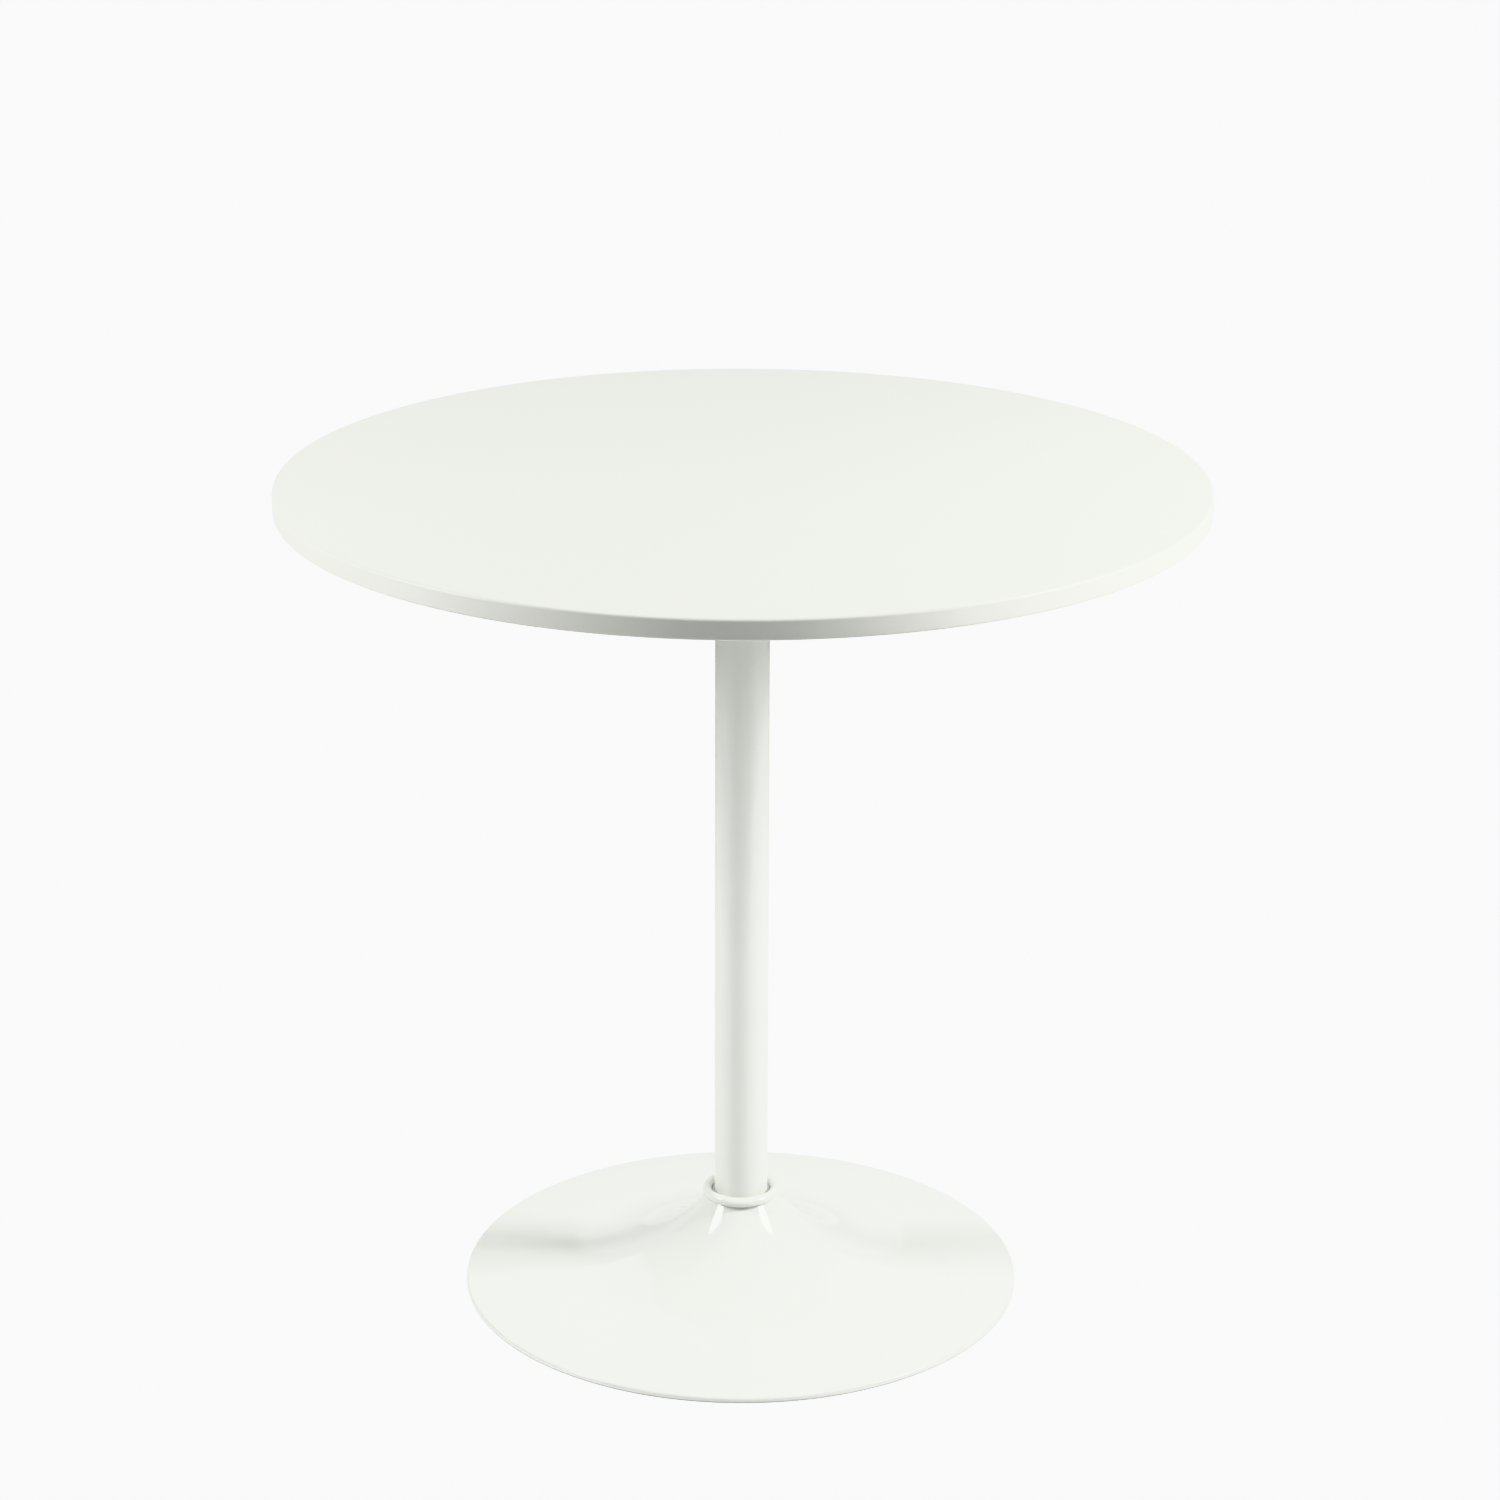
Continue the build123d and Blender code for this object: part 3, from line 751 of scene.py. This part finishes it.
class TABLE_OT_fixings(Maker):
    """Make the screws, washers, inserts and bolts that hold the top"""

    bl_idname = "pedestal.fixings"
    bl_label = "Top fixings"

    def make(self, scene):
        sizes = scene.table_top_sizes
        low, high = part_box("mounting_washers")
        section = plain_ring(inner=3.2 * MM, outer=7.0 * MM, bottom=low.z, top=high.z)
        washer = turned("plate_washer", "zinc_plate", section, segments=40)
        ringed(washer, "zinc_plate", "mounting_washers", sizes.screws, sizes.screw_circle)
        bottom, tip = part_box("mounting_screws")
        screw = hanging_screw("plate_screw", "zinc_plate", seat=low.z, head_radius=5.25 * MM,
                              head_height=low.z - bottom.z, rounding=1.5 * MM, shank=3.0 * MM,
                              tip=tip.z, key=4.0 * MM)
        ringed(screw, "zinc_plate", "mounting_screws", sizes.screws, sizes.screw_circle, seed=11)
        self.make_inserts(sizes)
        tip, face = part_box("head_bolts")
        bolt = sunk_screw("head_bolt", "zinc_plate", face=face.z, head_radius=8.0 * MM,
                          head_height=BOLT_HEAD, shank=4.0 * MM, tip=tip.z, key=5.0 * MM)
        ringed(bolt, "zinc_plate", "head_bolts", HEAD_BOLTS, sizes.bolt_circle, seed=7)

    def make_inserts(self, sizes):
        low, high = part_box("top_inserts")
        bore = 3.05 * MM
        outer = 4.95 * MM
        waist = outer - 0.6 * MM
        section = [corner(bore, low.z, EDGE_BREAK), corner(outer, low.z, EDGE_BREAK)]
        for i in range(3):
            start = low.z + (3.0 + 3.5 * i) * MM
            section += [
                corner(outer, start),
                corner(waist, start + 0.3 * MM),
                corner(waist, start + 1.0 * MM),
                corner(outer, start + 1.2 * MM),
            ]
        section += [corner(outer, high.z, EDGE_BREAK), corner(bore, high.z, EDGE_BREAK)]
        insert = turned("board_insert", "zinc_plate", section, segments=40)
        ringed(insert, "zinc_plate", "top_inserts", sizes.screws, sizes.screw_circle)


class TABLE_OT_column(Maker):
    """Make the tube of the column"""

    bl_idname = "pedestal.column"
    bl_label = "Column"

    def make(self, scene):
        inner = TUBE_RADIUS - scene.column_sizes.wall
        section = plain_ring(inner, TUBE_RADIUS, TUBE_BOTTOM, TUBE_TOP)
        tube = turned("column", "white_coat", section, segments=160)
        settle(tube, "white_coat", "column_tube")


class TABLE_OT_trumpet(Maker):
    """Make the spun shell of the base, with its rolled bead and turned-down rim"""

    bl_idname = "pedestal.trumpet"
    bl_label = "Base shell"

    def side(self, sizes, depth):
        """Corners of one side of the wall, at a depth under the upper side."""
        neck_fall, flare_fall = math.tan(sizes.neck_slope), math.tan(sizes.flare_slope)
        neck = sizes.neck_height + sizes.neck_radius * neck_fall - depth / math.cos(sizes.neck_slope)
        flare = sizes.rim_height + RIM_RADIUS * flare_fall - depth / math.cos(sizes.flare_slope)
        knee = (neck - flare) / (neck_fall - flare_fall)
        rim = RIM_RADIUS - depth
        roll = sizes.bead_radius - sizes.wall + depth
        throat = sizes.bead_centre - roll
        centre = (sizes.bead_centre, SHELL_TOP - sizes.bead_radius)
        return [
            corner(rim, SHELL_BOTTOM, 0.25 * MM),
            corner(rim, flare - rim * flare_fall, sizes.rim_rounding - depth, 10),
            corner(knee, flare - knee * flare_fall, sizes.flare_radius + depth, 48),
            corner(throat, neck - throat * neck_fall, sizes.throat + depth, 12),
        ] + arc(centre, roll, 180, -90, 42)

    def make(self, scene):
        sizes = scene.base_sizes
        section = self.side(sizes, 0.0) + self.side(sizes, sizes.wall)[::-1]
        shell = turned("trumpet", "white_coat", section, segments=288)
        settle(shell, "white_coat", "base_shell")


class TABLE_OT_underside(Maker):
    """Make the base plate, its screws, the access cap and the rim seal"""

    bl_idname = "pedestal.underside"
    bl_label = "Underside of the base"

    def make(self, scene):
        self.make_plate(scene.base_sizes)
        self.make_screws(scene.base_sizes)
        self.make_cap()
        self.make_seal()

    def make_plate(self, sizes):
        outer, bottom, top = reach("base_plate")
        section = plain_ring(ACCESS_HOLE, outer, bottom, top, 0.5 * MM)
        plate = turned("under_plate", "grey_coat", section, segments=240)
        past = 0.5 * MM
        for start, depth, low in (
            (bottom - OVERRUN, top - bottom + 2 * OVERRUN, UNDER_SCREW_HOLE),
            (bottom - past, UNDER_SCREW_HEAD + past, UNDER_SCREW_SINK),
        ):
            run(plate, "Ring of holes", "grey_coat", Count=UNDER_SCREWS, Circle_Radius=sizes.screw_circle,
                Bottom=start, Depth=depth, Radius_Bottom=low, Radius_Top=UNDER_SCREW_HOLE)
        settle(plate, "grey_coat", "base_plate")

    def make_screws(self, sizes):
        face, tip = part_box("base_plate_screws")
        screw = sunk_screw("under_screw", "zinc_plate", face=face.z, head_radius=5.0 * MM,
                           head_height=UNDER_SCREW_HEAD, shank=2.5 * MM, tip=tip.z, key=3.0 * MM)
        ringed(screw, "zinc_plate", "base_plate_screws", UNDER_SCREWS, sizes.screw_circle, seed=3)

    def make_cap(self):
        outer, bottom, top = reach("access_cap")
        floor = bottom + 1.5 * MM
        dish = bottom + 0.5 * MM
        skirt = 23.4 * MM
        inside = skirt - 1.6 * MM
        section = [
            corner(0.0, dish),
            corner(9.0 * MM, dish, EDGE_BREAK),
            corner(10.0 * MM, bottom, EDGE_BREAK),
            corner(outer, bottom, EDGE_BREAK),
            corner(outer, floor, EDGE_BREAK),
            corner(skirt, floor),
            corner(skirt, top, EDGE_BREAK),
            corner(inside, top, EDGE_BREAK),
            corner(inside, floor),
            corner(0.0, floor),
        ]
        cap = turned("access_cover", "black_plastic", section, closed=False, segments=96)
        settle(cap, "black_plastic", "access_cap")

    def make_seal(self):
        outer, bottom, top = reach("rim_seal")
        foot = SHELL_BOTTOM
        inner = outer - 3.5 * MM
        leg = outer - 1.6 * MM
        section = [
            corner(inner, bottom, 0.4 * MM),
            corner(outer, bottom, 0.5 * MM),
            corner(outer, foot, 0.15 * MM),
            corner(leg, foot),
            corner(leg, top, EDGE_BREAK),
            corner(inner, top, EDGE_BREAK),
        ]
        seal = turned("floor_ring", "pale_vinyl", section, segments=288)
        settle(seal, "pale_vinyl", "rim_seal")


class TABLE_OT_bush(Maker):
    """Make the bush that centres the neck on the tube"""

    bl_idname = "pedestal.bush"
    bl_label = "Neck bush"

    def make(self, scene):
        sizes = scene.base_sizes
        flange, bottom, top = reach("neck_bush")
        inner = TUBE_RADIUS + SLIP
        sleeve = sizes.bead_centre - sizes.bead_radius - SLIP
        step = bottom + 3 * MM
        section = [
            corner(inner, bottom, EDGE_BREAK),
            corner(flange, bottom, 0.5 * MM),
            corner(flange, step, 0.5 * MM),
            corner(sleeve, step, 0.5 * MM),
            corner(sleeve, top, 0.5 * MM),
            corner(inner, top, EDGE_BREAK),
        ]
        bush = turned("centring_bush", "pale_vinyl", section, segments=96)
        settle(bush, "pale_vinyl", "neck_bush")


class TABLE_OT_inner_parts(Maker):
    """Give the parts inside the column and the base their finishes"""

    bl_idname = "pedestal.inner_parts"
    bl_label = "Inner parts"

    def make(self, scene):
        slots = {part["node"]: part["material_slot"] for part in frame["record"]["subparts"]}
        for name, node in frame["nodes"].items():
            if node.hide_render:
                continue
            material = finish(slots[name])
            if not node.material_slots:
                node.data.materials.append(material)
            for place in node.material_slots:
                place.material = material


class TABLE_OT_studio(Maker):
    """Make the pale floor, the soft lights and the camera"""

    bl_idname = "pedestal.studio"
    bl_label = "Studio"

    def make(self, scene):
        setting = scene.studio_setting
        scene.view_settings.view_transform = "Khronos PBR Neutral"
        self.make_floor(setting)
        self.make_world(scene, setting)
        for name, side, power in (("left_box", -1.9, setting.left), ("right_box", 1.9, setting.right)):
            self.make_light(name, place=(side, -0.44, 1.75), size=(0.65, 0.95), power=power)
        self.make_light("back_box", place=(0.0, 2.4, 2.05), size=(3.4, 1.5), power=setting.back)
        self.make_light("sweep", place=(0.0, 2.6, 0.52), size=(5.0, 1.0), power=setting.sweep)
        self.make_camera(scene, setting)

    def make_floor(self, setting):
        mesh = bpy.data.meshes.new("floor")
        work = bmesh.new()
        bmesh.ops.create_circle(work, cap_ends=True, segments=96, radius=60.0)
        work.to_mesh(mesh)
        work.free()
        floor = bpy.data.objects.new("floor", mesh)
        bpy.context.scene.collection.objects.link(floor)
        look = Graph(self.new_material("pale_floor"))
        white = setting.floor_white
        paper = look.node("ShaderNodeBsdfDiffuse", {}, {"Color": (white, white, white, 1.0)})
        ray_length = look.node("ShaderNodeLightPath", out="Ray Length")
        camera_ray = look.node("ShaderNodeLightPath", out="Is Camera Ray")
        under_rim = 6.0 * MM
        near = look.node("ShaderNodeMath", {"operation": "LESS_THAN"}, {0: ray_length, 1: under_rim})
        lit = self.glow(look, setting.beneath)
        beneath = look.node("ShaderNodeMixShader", {}, {0: near, 1: paper, 2: lit})
        seen = self.glow(look, setting.backdrop)
        both = look.node("ShaderNodeMixShader", {}, {0: camera_ray, 1: beneath, 2: seen})
        clear = look.node("ShaderNodeBsdfTransparent")
        behind = look.node("ShaderNodeNewGeometry", out="Backfacing")
        either = look.node("ShaderNodeMixShader", {}, {0: behind, 1: both, 2: clear})
        look.node("ShaderNodeOutputMaterial", {}, {"Surface": either})
        mesh.materials.append(bpy.data.materials["pale_floor"])

    def glow(self, look, strength):
        return look.node("ShaderNodeEmission", {}, {"Color": WHITE, "Strength": strength})

    def new_material(self, name):
        material = bpy.data.materials.new(name)
        material.use_nodes = True
        return material.node_tree

    def make_world(self, scene, setting):
        scene.world = bpy.data.worlds.new("studio")
        scene.world.use_nodes = True
        sky = Graph(scene.world.node_tree)
        seen = sky.node("ShaderNodeLightPath", out="Is Camera Ray")
        room = sky.node("ShaderNodeBackground", {}, {"Color": WHITE, "Strength": setting.room})
        pale = sky.node("ShaderNodeBackground", {}, {"Color": WHITE, "Strength": setting.backdrop})
        both = sky.node("ShaderNodeMixShader", {}, {0: seen, 1: room, 2: pale})
        sky.node("ShaderNodeOutputWorld", {}, {"Surface": both})

    def make_light(self, name, place, size, power):
        data = bpy.data.lights.new(name, "AREA")
        data.shape = "RECTANGLE"
        data.size, data.size_y = size
        data.energy = power
        light = bpy.data.objects.new(name, data)
        bpy.context.scene.collection.objects.link(light)
        light.location = place
        aim = Vector((0.0, 0.0, 0.4))
        light.rotation_euler = (aim - Vector(place)).to_track_quat("-Z", "Y").to_euler()
        light.visible_camera = False

    def make_camera(self, scene, setting):
        data = bpy.data.cameras.new("camera")
        data.lens = setting.lens
        data.shift_x = setting.shift
        camera = bpy.data.objects.new("camera", data)
        scene.collection.objects.link(camera)
        tilt = Matrix.Rotation(math.radians(90.0) - setting.pitch, 4, "X")
        roll = Matrix.Rotation(setting.roll, 4, "Z")
        place = Matrix.Translation((0.0, -setting.distance, setting.height))
        camera.matrix_world = place @ tilt @ roll
        scene.camera = camera


OPERATORS = (
    TABLE_OT_studio, TABLE_OT_board, TABLE_OT_plate, TABLE_OT_fixings, TABLE_OT_column,
    TABLE_OT_trumpet, TABLE_OT_underside, TABLE_OT_bush, TABLE_OT_inner_parts,
)

SETTINGS = {
    "table_top_sizes": TableTopSizes,
    "column_sizes": ColumnSizes,
    "base_sizes": BaseSizes,
    "table_looks": TableLooks,
    "studio_setting": StudioSetting,
}


class TABLE_PT_panel(Panel):
    """Lists the pieces of the table and what can be changed about them."""

    bl_label = "Pedestal table"
    bl_idname = "TABLE_PT_panel"
    bl_space_type = "VIEW_3D"
    bl_region_type = "UI"
    bl_category = "Table"

    def draw(self, context):
        for operator in OPERATORS:
            self.layout.operator(operator.bl_idname, text=operator.bl_label)
        for group in SETTINGS:
            box = self.layout.box()
            values = getattr(context.scene, group)
            for name in values.__annotations__:
                box.prop(values, name)


def register():
    for group in SETTINGS.values():
        bpy.utils.register_class(group)
    for name, group in SETTINGS.items():
        setattr(bpy.types.Scene, name, PointerProperty(type=group))
    for operator in OPERATORS:
        bpy.utils.register_class(operator)
    bpy.utils.register_class(TABLE_PT_panel)


def unregister():
    bpy.utils.unregister_class(TABLE_PT_panel)
    for operator in reversed(OPERATORS):
        bpy.utils.unregister_class(operator)
    for name, group in SETTINGS.items():
        delattr(bpy.types.Scene, name)
        bpy.utils.unregister_class(group)


def main():
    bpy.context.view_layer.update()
    register()
    for operator in OPERATORS:
        group, name = operator.bl_idname.split(".")
        getattr(getattr(bpy.ops, group), name)()


if __name__ == "__main__":
    main()
